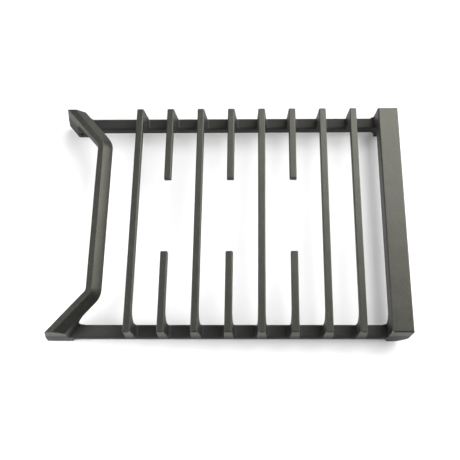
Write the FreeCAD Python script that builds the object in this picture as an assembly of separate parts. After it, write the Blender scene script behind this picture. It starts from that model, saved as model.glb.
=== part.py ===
import FreeCAD, Part
import math
import os

from FreeCAD import Vector

# Cast-iron pan support of a gas hob, made as one casting.
# Millimetres, +Z up, +X along the two rails, +Y to the back of the hob.
# While it is built, X = 0 is the middle of the row of cross bars and Z = 0 is the hob.

# Overall
height = 49.5
depth_at_top = 259.0
depth_at_rail = 262.0

# Cross bars, numbered from the left
bar_count = 8
bar_pitch = 35.0
bar_width = 7.6
bar_height = 6.0
bar_draft = 3.5
bar_edge_radius = 1.2
arch_radius = 13.0
underside_chamfer = 0.8

# Short fingers, which leave the middle of a burner free
finger_bars = (2, 4, 6)
burner_gap = 84.0
finger_end_draft = 3.0

# Rails under the ends of the bars
rail_width = 14.4
rail_height = 12.0
rail_underside = 11.3
rail_inner_radius = 2.6
rail_outer_radius = 3.2
flare_radius = 3.0
flare_drop = 0.9

# Wide bar at the right end
wide_bar_space = 28.8
wide_bar_width = 22.5
wide_bar_height = 15.0
wide_bar_draft = 3.0
wide_bar_edge_radius = 1.5
wide_bar_lean = 1.0
wide_foot_heel = 1.4
wide_foot_toe = 8.5
wide_toe_height = 12.0
wide_toe_radius = 28.0

# Kinked bar at the left end
kinked_bar_space = 45.6
kinked_strip_width = 6.5
kinked_bevel_width = 8.0
kinked_bevel_drop = 8.6
kinked_bar_height = 11.0
kinked_arch_radius = 8.0
kinked_lean = 8.3
kink_spacing = 169.6
kink_angle = 41.0
kink_radius = 6.0
kinked_foot_width = 27.5
kinked_foot_radius = 4.5

# Feet
foot_edge_radius = 2.5
foot_flare_radius = 3.5

# Blind holes in the inner faces of the left feet
hole_diameter = 4.5
hole_depth = 8.0
hole_height = 10.8
hole_inset = 17.9

# Worked out from the sizes above
rail_top = rail_underside + rail_height
leg_bottom = rail_underside + rail_outer_radius
leg_outer_y = depth_at_rail / 2
leg_inner_y = leg_outer_y - rail_width
row_half = bar_pitch * (bar_count - 1) / 2
wide_bar_x = row_half + wide_bar_space
kinked_bar_x = -row_half - kinked_bar_space
tip_x = kinked_bar_x - (depth_at_top - kink_spacing) / 2 * math.tan(math.radians(kink_angle))
left_x = tip_x - height * math.tan(math.radians(kinked_lean)) / math.cos(math.radians(kink_angle))
foot_inner_x = left_x + kinked_foot_width

# How far a blend reaches into its neighbours, so that the two faces cross cleanly
sink = 0.03
same_point = 0.0001
reach = depth_at_rail


def at(x, z):
    return Vector(x, 0, z)


def outline(corners):
    """A closed flat face from (point, radius) corners; a radius of 0 leaves a corner sharp."""
    count = len(corners)
    bends = []
    for index, (point, radius) in enumerate(corners):
        if radius == 0:
            bends.append((point, point, point))
            continue
        before = (corners[index - 1][0] - point).normalize()
        after = (corners[(index + 1) % count][0] - point).normalize()
        half_angle = before.getAngle(after) / 2
        setback = radius / math.tan(half_angle)
        depth = radius / math.sin(half_angle) - radius
        middle = point + (before + after).normalize() * depth
        bends.append((point + before * setback, middle, point + after * setback))
    edges = []
    for index, (start, middle, end) in enumerate(bends):
        if start != end:
            edges.append(Part.Arc(start, middle, end).toShape())
        following = bends[(index + 1) % count][0]
        if not end.isEqual(following, same_point):
            edges.append(Part.makeLine(end, following))
    return Part.Face(Part.Wire(edges))


def prism_along_y(face):
    """The face, drawn in the XZ plane, carried along the whole depth."""
    face.translate(Vector(0, -reach, 0))
    return face.extrude(Vector(0, 2 * reach, 0))


def part_above(face, level):
    """What lies above the level of an upright face."""
    space = Part.makeBox(2 * reach, 2 * reach, height, Vector(-reach, -reach, level))
    return face.common(space).Faces[0]


def leg_profile(inner_end, bar_drop, end_lean, top_radius, arch, bottom, bottom_radius, left, right):
    """One end of a bar seen from the side, as a slab from X = left to X = right.

    It is the bar from inner_end to the back, the arch under it, and the leg down to bottom.
    """
    under = height - bar_drop
    slab = outline([
        (Vector(left, inner_end, height), 0),
        (Vector(left, depth_at_top / 2, height), top_radius),
        (Vector(left, leg_outer_y, rail_top), 0),
        (Vector(left, leg_outer_y, bottom), bottom_radius),
        (Vector(left, leg_inner_y, bottom), bottom_radius),
        (Vector(left, leg_inner_y, under), arch),
        (Vector(left, inner_end - end_lean, under), 0),
    ])
    return slab.extrude(Vector(right - left, 0, 0))


def bar_half_width(z):
    return bar_width / 2 + math.tan(math.radians(bar_draft)) * (height - z)


def bar_section():
    bottom = rail_underside
    return outline([
        (at(-bar_half_width(height), height), 0),
        (at(bar_half_width(height), height), 0),
        (at(bar_half_width(bottom), bottom), 0),
        (at(-bar_half_width(bottom), bottom), 0),
    ])


def is_top(edge):
    return edge.BoundBox.ZMin > height - sink


def soften(bar, inner_end):
    """Chamfers the underside and ends of a bar, and rounds its top edges."""
    def is_cut(edge):
        box = edge.BoundBox
        at_middle = inner_end == 0 and box.YMax < sink
        return at_middle or box.ZMax < leg_bottom + sink

    def is_lower(edge):
        box = edge.BoundBox
        across = box.XMin * box.XMax < 0
        at_finger_end = inner_end > 0 and box.YMax < leg_inner_y - arch_radius - sink
        return not is_top(edge) and (not across or at_finger_end)

    lower = [edge for edge in bar.Edges if is_lower(edge) and not is_cut(edge)]
    bar = bar.makeChamfer(underside_chamfer, lower).Solids[0]
    upper = [edge for edge in bar.Edges if is_top(edge) and not is_cut(edge)]
    return bar.makeFillet(bar_edge_radius, upper).Solids[0]


def leg_flares():
    """The blends from both sides of a leg to the top of the rail, which fade at its edges."""
    draft = math.radians(bar_draft)
    centre_x = bar_half_width(rail_top) + flare_radius * (1 - math.sin(draft)) / math.cos(draft) - sink
    centre_z = rail_top + flare_radius - sink
    side = at(centre_x - flare_radius * math.cos(draft), centre_z - flare_radius * math.sin(draft))
    turn = (math.pi + draft + math.pi * 1.5) / 2
    hollow = at(centre_x + flare_radius * math.cos(turn), centre_z + flare_radius * math.sin(turn))
    base = at(centre_x, centre_z - flare_radius)
    root = at(centre_x, rail_top - rail_inner_radius)

    def other_side(point):
        return at(-point.x, point.z)

    bell = Part.Face(Part.Wire([
        Part.Arc(side, hollow, base).toShape(),
        Part.makeLine(base, root),
        Part.makeLine(root, other_side(root)),
        Part.makeLine(other_side(root), other_side(base)),
        Part.Arc(other_side(base), other_side(hollow), other_side(side)).toShape(),
        Part.makeLine(other_side(side), side),
    ]))
    def fade(radius):
        return radius - math.sqrt(radius ** 2 - (radius - flare_drop) ** 2)

    ends = outline([
        (Vector(-bar_pitch / 2, leg_inner_y + fade(rail_inner_radius), rail_top - flare_drop), 0),
        (Vector(-bar_pitch / 2, leg_outer_y - fade(rail_outer_radius), rail_top - flare_drop), 0),
        (Vector(-bar_pitch / 2, leg_outer_y - rail_outer_radius, rail_top + flare_radius), 0),
        (Vector(-bar_pitch / 2, leg_inner_y + rail_inner_radius, rail_top + flare_radius), 0),
    ])
    return prism_along_y(bell).common(ends.extrude(Vector(bar_pitch, 0, 0)))


def bar_end(inner_end, end_lean):
    """The back half of a cross bar, or a back finger, with its leg."""
    slab = leg_profile(inner_end, bar_height, end_lean, 0, arch_radius, leg_bottom, 0,
                       -bar_pitch / 2, bar_pitch / 2)
    bar = prism_along_y(bar_section()).common(slab).Solids[0]
    return soften(bar, inner_end).fuse(leg_flares())


def cross_bars():
    full = bar_end(0, 0)
    finger_lean = math.tan(math.radians(finger_end_draft)) * bar_height
    finger = bar_end(burner_gap / 2, finger_lean)
    bars = []
    for number in range(1, bar_count + 1):
        bar = (finger if number in finger_bars else full).copy()
        bar.translate(Vector((number - 1) * bar_pitch - row_half, 0, 0))
        bars.append(bar)
    return bars


def rail():
    """The back rail, from inside the left foot to inside the right one."""
    left = foot_inner_x - rail_outer_radius
    right = wide_bar_x + wide_foot_toe
    section = outline([
        (Vector(left, leg_inner_y, rail_underside), rail_inner_radius),
        (Vector(left, leg_outer_y, rail_underside), rail_outer_radius),
        (Vector(left, leg_outer_y, rail_top), rail_outer_radius),
        (Vector(left, leg_inner_y, rail_top), rail_inner_radius),
    ])
    return section.extrude(Vector(right - left, 0, 0))


def wide_bar():
    """The back half of the wide bar, which turns in below to its foot."""
    left = wide_bar_x
    right = wide_bar_x + wide_bar_width
    heel = wide_bar_x + wide_foot_heel
    root = left - math.tan(math.radians(wide_bar_draft)) * (height - rail_top)
    section = outline([
        (at(left, height), wide_bar_edge_radius),
        (at(right, height), wide_bar_edge_radius),
        (at(right - wide_bar_lean, wide_toe_height), wide_toe_radius),
        (at(wide_bar_x + wide_foot_toe, 0), 0),
        (at(heel, 0), 0),
        (at(heel, rail_underside + sink), foot_flare_radius),
        (at(heel - foot_flare_radius, rail_underside + sink), 0),
        (at(heel - foot_flare_radius, leg_bottom), 0),
        (at(root - flare_radius, leg_bottom), 0),
        (at(root - flare_radius, rail_top - sink), 0),
        (at(root, rail_top - sink), flare_radius),
    ])
    slab = leg_profile(0, wide_bar_height, 0, wide_bar_edge_radius, arch_radius, 0, foot_edge_radius,
                       left - bar_pitch, right + bar_pitch)
    return prism_along_y(section).common(slab)


def kinked_section():
    """Cross section of the kinked bar at its straight part: a flat strip with a bevel beside it."""
    left = kinked_bar_x
    lean = math.tan(math.radians(kinked_lean)) * height
    strip = left + kinked_strip_width
    wall = strip + kinked_bevel_width
    skirt = wall + 2 * rail_width
    rail_middle = rail_underside + rail_inner_radius
    return outline([
        (at(left, height), bar_edge_radius),
        (at(strip, height), bar_edge_radius),
        (at(wall, height - kinked_bevel_drop), bar_edge_radius),
        (at(wall, rail_top - sink), flare_radius),
        (at(wall + flare_radius, rail_top - sink), 0),
        (at(wall + flare_radius, rail_middle), 0),
        (at(skirt, rail_middle), 0),
        (at(skirt, 0), 0),
        (at(left - lean, 0), kinked_foot_radius),
    ])


def kinked_bar():
    """The back half of the kinked bar: straight, then turned outwards to the corner."""
    angle = math.radians(kink_angle)
    straight = kink_spacing / 2 - kink_radius * math.tan(angle / 2)
    section = kinked_section()
    bar = part_above(section, height - kinked_bar_height)
    body = bar.extrude(Vector(0, straight, 0))
    bar.translate(Vector(0, straight, 0))
    pivot = Vector(kinked_bar_x - kink_radius, straight, 0)
    kink = bar.revolve(pivot, Vector(0, 0, 1), kink_angle)
    section.translate(Vector(0, straight, 0))
    section.rotate(pivot, Vector(0, 0, 1), kink_angle)
    diagonal = section.extrude(Vector(-math.sin(angle), math.cos(angle), 0) * reach / 2)
    swept = body.multiFuse([kink, diagonal]).removeSplitter()

    slab = leg_profile(0, kinked_bar_height, 0, bar_edge_radius, kinked_arch_radius, 0, kinked_foot_radius,
                       left_x - reach, kinked_bar_x + bar_pitch)
    keep = outline([
        (at(left_x - reach, height), 0),
        (at(kinked_bar_x + bar_pitch, height), 0),
        (at(kinked_bar_x + bar_pitch, rail_underside + rail_inner_radius), 0),
        (at(foot_inner_x + foot_flare_radius, rail_underside + rail_inner_radius), 0),
        (at(foot_inner_x + foot_flare_radius, rail_underside + sink), 0),
        (at(foot_inner_x, rail_underside + sink), foot_flare_radius),
        (at(foot_inner_x, 0), 0),
        (at(left_x - reach, 0), 0),
    ])
    hole = Part.makeCylinder(hole_diameter / 2, hole_depth,
                             Vector(left_x + hole_inset, leg_inner_y, hole_height), Vector(0, 1, 0))
    return swept.common(slab).common(prism_along_y(keep)).cut(hole)


def pan_support():
    back = [rail(), wide_bar(), kinked_bar()] + cross_bars()
    front = [shape.mirror(Vector(0, 0, 0), Vector(0, 1, 0)) for shape in back]
    support = back[0].multiFuse(back[1:] + front).removeSplitter().Solids[0]
    box = support.optimalBoundingBox()
    support.translate(Vector(-box.Center.x, -box.Center.y, -box.ZMin))
    return support


os.makedirs("parts", exist_ok=True)
pan_support().exportStep("parts/pan_support.step")
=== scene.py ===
import math

import bpy
from mathutils import Matrix, Vector


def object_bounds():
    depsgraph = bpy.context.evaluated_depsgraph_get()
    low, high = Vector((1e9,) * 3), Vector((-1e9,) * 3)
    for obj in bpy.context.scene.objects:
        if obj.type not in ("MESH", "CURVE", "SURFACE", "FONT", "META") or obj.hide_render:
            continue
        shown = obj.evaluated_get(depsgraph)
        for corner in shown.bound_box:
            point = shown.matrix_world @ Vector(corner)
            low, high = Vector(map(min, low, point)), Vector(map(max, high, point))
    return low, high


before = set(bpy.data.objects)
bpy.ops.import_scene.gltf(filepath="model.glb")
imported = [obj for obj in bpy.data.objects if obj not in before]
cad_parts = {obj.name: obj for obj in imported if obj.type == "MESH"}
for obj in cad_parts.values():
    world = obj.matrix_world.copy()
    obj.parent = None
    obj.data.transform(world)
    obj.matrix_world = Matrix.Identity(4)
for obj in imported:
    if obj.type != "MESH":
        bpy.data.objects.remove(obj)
cad_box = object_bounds()

# Camera, solved from the photograph: lengths in its pixels, the place in metres and the turns in degrees
image_width = 460
focal_length = 652.6
axis_column = 254.0
camera_place = Vector((0.0411, -0.2456, 0.7165))
camera_down = 71.20
camera_left = 2.63
camera_roll = 2.61
sensor_width_mm = 36.0

# Room: the floor's size in metres, its grey, its faint glow and the light from all around
floor_size = 12
floor_grey = 0.41
floor_roughness = 0.6
floor_glow = 0.15
room_glow = 0.03

# Far lamps: name, turn from the back (+Y) towards the right, height above the floor and disc radius, all in
# degrees as seen from the middle of the floor, and power in watts
far_lamps = (
    ("window", 27, 51, 17, 40.0),
    ("side lamp", 62, 44, 12, 18.0),
    ("left lamp", 282, 50, 20, 15.0),
    ("left wall", 270, 12, 11, 11.0),
    ("right wall", 66, 12, 12, 26.0),
)
floor_middle = Vector((0, 0, 0))
far_lamp_distance = 2.2

# Near lamps, which aren't mirrored in the casting: the same, as seen from the place on the floor that each
# is aimed at, then that place and the distance from it in metres
near_lamps = (
    ("ceiling lamp", 100, 68, 17, 12.0, Vector((0.16, 0.06, 0)), 0.85),
    ("near lamp", 236, 47, 20, 5.6, Vector((-0.2, -0.09, 0)), 0.45),
)

# Enamel colours
dark_enamel = (0.005, 0.005, 0.0047, 1)
light_enamel = (0.0075, 0.0075, 0.007, 1)
# Lighter colour on the rails and feet: painted light that lifts their shade
low_enamel_painted_light = (0.015, 0.015, 0.0148, 1)
speck_enamel = (0.025, 0.0245, 0.0225, 1)
# Lighter colour along the edges: a painted highlight, standing in for the light that rounded edges catch
painted_edge_highlight = (0.05, 0.048, 0.043, 1)
chip_metal = (0.42, 0.41, 0.38, 1)
olive_gloss = (1.0, 0.99, 0.84, 1)

# Widths of the enamel's blotches, specks and chips, and of the casting's swells, pits and grain, in metres
blotch_size = 0.045
speck_size = 0.0014
chip_size = 0.005
swell_size = 0.016
pit_size = 0.0035
grain_size = 0.001

# Heights of the swells, pits and grain, in metres
swell_depth = 0.0004
pit_depth = 0.0001
grain_depth = 0.00018

# Strengths of their bumps
swell_strength = 0.6
pit_strength = 0.5
grain_strength = 0.7

# Noise values between which the blotches, specks, unevenness and chips go from none to full
blotch_range = (0.35, 0.65)
speck_range = (0.44, 0.72)
uneven_range = (0.3, 0.7)
chip_range = (0.5, 0.66)

# Depths below the bars' tops: the plain rails and feet end at the first, the rubbed bars start at the other
rail_depth = 0.0255
bar_depth = 0.0135

# Upward part of the normal on a bar's sides and on its top, and how far its sides are rubbed
rub_range = (0.3, 0.8)
side_rub = 0.55

# Roughness and gloss where nothing rubs and where pans do, and what the specks add to the roughness
plain_roughness = 0.56
rubbed_roughness = 0.38
uneven_roughness = 0.06
plain_gloss = 0.18
rubbed_gloss = 0.55

# Shares of the specks and of the painted edge highlight in the bars' colour, and how much of the specks and
# of the edge mask (painted highlight and chips) is left on rails and feet
speck_share = 0.6
edge_highlight_share = 0.8
low_specks = 0.4
low_edge_highlights_and_chips = 0.15

# Edges: the width that is looked at in metres, and the cosines that a flat face and a clear edge give
edge_width = 0.0013
edge_samples = 6
flat_cosine = 0.99
edge_cosine = 0.85

# A colour Mix node's sockets, by number
mix_share = 0
mix_first = 6
mix_second = 7
mix_result = 2


def add_camera():
    """The photograph's camera, with its axis beside the picture's middle."""
    down = math.radians(camera_down)
    turn = math.radians(-camera_left)
    roll = math.radians(-camera_roll)
    forward = Vector((math.sin(turn) * math.cos(down), math.cos(turn) * math.cos(down), -math.sin(down)))
    level = Vector((math.cos(turn), -math.sin(turn), 0))
    upright = level.cross(forward)
    right = level * math.cos(roll) + upright * math.sin(roll)
    up = upright * math.cos(roll) - level * math.sin(roll)

    data = bpy.data.cameras.new("camera")
    data.sensor_fit = "HORIZONTAL"
    data.sensor_width = sensor_width_mm
    data.lens = focal_length / image_width * sensor_width_mm
    data.shift_x = (image_width / 2 - axis_column) / image_width
    camera = bpy.data.objects.new("camera", data)
    turned = Matrix((right, up, -forward)).transposed()
    camera.matrix_world = Matrix.Translation(camera_place) @ turned.to_4x4()
    bpy.context.scene.collection.objects.link(camera)
    bpy.context.scene.camera = camera


def add_lamp(name, turn, rise, radius, power, aim, distance, mirrored):
    """A soft disc that faces a place on the floor; the angles are in degrees as seen from there."""
    turn, rise, radius = (math.radians(angle) for angle in (turn, rise, radius))
    way = Vector((math.sin(turn) * math.cos(rise), math.cos(turn) * math.cos(rise), math.sin(rise)))
    data = bpy.data.lights.new(name, "AREA")
    data.shape = "DISK"
    data.size = 2 * distance * math.tan(radius)
    data.energy = power
    lamp = bpy.data.objects.new(name, data)
    lamp.location = aim + way * distance
    lamp.visible_glossy = mirrored
    lamp.rotation_euler = way.to_track_quat("Z", "Y").to_euler()
    bpy.context.scene.collection.objects.link(lamp)


def add_world():
    """A faint white light from all around."""
    world = bpy.data.worlds.new("room")
    world.use_nodes = True
    background = world.node_tree.nodes["Background"]
    background.inputs["Color"].default_value = (1, 1, 1, 1)
    background.inputs["Strength"].default_value = room_glow
    bpy.context.scene.world = world


class Graph:
    """A material's node tree, with short calls to add nodes and to join them."""

    def __init__(self, name):
        self.material = bpy.data.materials.new(name)
        self.material.use_nodes = True
        self.tree = self.material.node_tree
        self.shader = self.tree.nodes["Principled BSDF"]
        self.place = self.add("ShaderNodeTexCoord").outputs["Object"]

    def add(self, kind, **settings):
        """A new node with these settings."""
        node = self.tree.nodes.new(kind)
        for key, value in settings.items():
            setattr(node, key, value)
        return node

    def put(self, value, socket):
        """Joins another node's result to the socket, or sets the socket to a plain value."""
        if isinstance(value, bpy.types.NodeSocket):
            self.tree.links.new(value, socket)
        else:
            socket.default_value = value

    def feed(self, node, **inputs):
        """Puts each value into the node's socket of that name."""
        for key, value in inputs.items():
            self.put(value, node.inputs[key.replace("_", " ")])

    def noise(self, size, detail=2, rough=0.5):
        """Noise whose blotches are about size metres wide."""
        node = self.add("ShaderNodeTexNoise")
        self.feed(node, Vector=self.place, Scale=1 / size, Detail=detail, Roughness=rough)
        return node.outputs["Fac"]

    def ramp(self, value, low, high, to_low=0.0, to_high=1.0):
        """Goes softly from to_low to to_high while the value goes from low to high."""
        node = self.add("ShaderNodeMapRange", interpolation_type="SMOOTHSTEP")
        self.feed(node, Value=value, From_Min=low, From_Max=high, To_Min=to_low, To_Max=to_high)
        return node.outputs["Result"]

    def between(self, share, to_low, to_high):
        """Goes softly from to_low to to_high while the share goes from 0 to 1."""
        return self.ramp(share, 0.0, 1.0, to_low, to_high)

    def calculate(self, operation, first, second):
        """The result of a Math node."""
        node = self.add("ShaderNodeMath", operation=operation)
        self.put(first, node.inputs[0])
        self.put(second, node.inputs[1])
        return node.outputs["Value"]

    def plus(self, first, second):
        return self.calculate("ADD", first, second)

    def times(self, first, second):
        return self.calculate("MULTIPLY", first, second)

    def mix(self, share, first, second):
        """The first colour where the share is 0, and the second where it is 1."""
        node = self.add("ShaderNodeMix", data_type="RGBA")
        self.put(share, node.inputs[mix_share])
        self.put(first, node.inputs[mix_first])
        self.put(second, node.inputs[mix_second])
        return node.outputs[mix_result]

    def upward(self, vector):
        """The Z part of a vector."""
        node = self.add("ShaderNodeSeparateXYZ")
        self.feed(node, Vector=vector)
        return node.outputs["Z"]

    def bump(self, height, distance, strength, under=None):
        """A bumped normal, on top of another one where it is given."""
        node = self.add("ShaderNodeBump")
        self.feed(node, Height=height, Distance=distance, Strength=strength)
        if under:
            self.feed(node, Normal=under)
        return node.outputs["Normal"]


def sharpness(graph):
    """1 on an edge, 0 on flat faces."""
    bevel = graph.add("ShaderNodeBevel", samples=edge_samples)
    graph.feed(bevel, Radius=edge_width)
    face = graph.add("ShaderNodeNewGeometry").outputs["True Normal"]
    product = graph.add("ShaderNodeVectorMath", operation="DOT_PRODUCT")
    graph.put(bevel.outputs["Normal"], product.inputs[0])
    graph.put(face, product.inputs[1])
    return graph.ramp(product.outputs["Value"], flat_cosine, edge_cosine)


def enamel_colour(graph, raised, speckle):
    """Dark enamel in blotches with pale specks, with a painted highlight on the bars' edges and chipped
    there in places; the rails and feet get a lighter colour, painted light that lifts their shade.
    """
    blotch = graph.ramp(graph.noise(blotch_size, detail=3), *blotch_range)
    specks = graph.ramp(speckle, *speck_range, 0.0, speck_share)
    specks = graph.times(specks, graph.between(raised, low_specks, 1.0))
    # Edge mask, for the painted highlight and for the chips
    edges = graph.times(sharpness(graph), graph.between(raised, low_edge_highlights_and_chips, 1.0))
    chips = graph.ramp(graph.noise(chip_size, detail=4, rough=0.65), *chip_range)

    colour = graph.mix(blotch, dark_enamel, light_enamel)
    # Painted light: the rails and feet get a lighter colour that lifts their shade
    colour = graph.mix(graph.between(raised, 1.0, 0.0), colour, low_enamel_painted_light)
    colour = graph.mix(specks, colour, speck_enamel)
    # Painted highlight along the edges
    colour = graph.mix(graph.times(edges, edge_highlight_share), colour, painted_edge_highlight)
    return graph.mix(graph.times(edges, chips), colour, chip_metal)


def cast_skin(graph):
    """The normal of a sand casting: slow swells, shallow pits and a fine grain."""
    swells = graph.noise(swell_size, detail=1)
    pits = graph.noise(pit_size, detail=2)
    grain = graph.noise(grain_size, detail=3, rough=0.6)
    skin = graph.bump(swells, swell_depth, swell_strength)
    skin = graph.bump(pits, pit_depth, pit_strength, skin)
    return graph.bump(grain, grain_depth, grain_strength, skin)


def enamelled_iron():
    """Matt olive-grey enamel on cast iron, smoother on the bars' tops than on the sides, rails and feet."""
    graph = Graph("cast_enamel")
    speckle = graph.noise(speck_size, detail=3, rough=0.6)
    normal = graph.add("ShaderNodeNewGeometry").outputs["Normal"]
    top = cad_box[1][2]
    raised = graph.ramp(graph.upward(graph.place), top - rail_depth, top - bar_depth)
    rubbed = graph.times(raised, graph.ramp(graph.upward(normal), *rub_range, side_rub, 1.0))
    uneven = graph.ramp(speckle, *uneven_range, 0.0, uneven_roughness)
    graph.feed(
        graph.shader,
        Base_Color=enamel_colour(graph, raised, speckle),
        Roughness=graph.plus(graph.between(rubbed, plain_roughness, rubbed_roughness), uneven),
        Specular_IOR_Level=graph.between(rubbed, plain_gloss, rubbed_gloss),
        Specular_Tint=olive_gloss,
        Normal=cast_skin(graph),
    )
    return graph.material


def pale_floor():
    """A plain matt floor with no gloss and a faint glow of its own."""
    graph = Graph("pale_floor")
    grey = (floor_grey, floor_grey, floor_grey, 1)
    graph.feed(graph.shader, Base_Color=grey, Roughness=floor_roughness, Specular_IOR_Level=0.0)
    graph.feed(graph.shader, Emission_Color=(1, 1, 1, 1), Emission_Strength=floor_glow)
    return graph.material


def add_floor():
    """A square floor under the feet."""
    mesh = bpy.data.meshes.new("floor")
    half = floor_size / 2
    corners = [(-half, -half, 0), (half, -half, 0), (half, half, 0), (-half, half, 0)]
    mesh.from_pydata(corners, [], [(0, 1, 2, 3)])
    mesh.materials.append(pale_floor())
    floor = bpy.data.objects.new("floor", mesh)
    bpy.context.scene.collection.objects.link(floor)


def coat(node, material):
    """Gives a CAD node this material alone."""
    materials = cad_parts[node].data.materials
    materials.clear()
    materials.append(material)


coat("pan_support", enamelled_iron())
add_floor()
add_camera()
add_world()
for lamp in far_lamps:
    add_lamp(*lamp, aim=floor_middle, distance=far_lamp_distance, mirrored=True)
for lamp in near_lamps:
    add_lamp(*lamp, mirrored=False)
bpy.context.scene.view_settings.view_transform = "Standard"
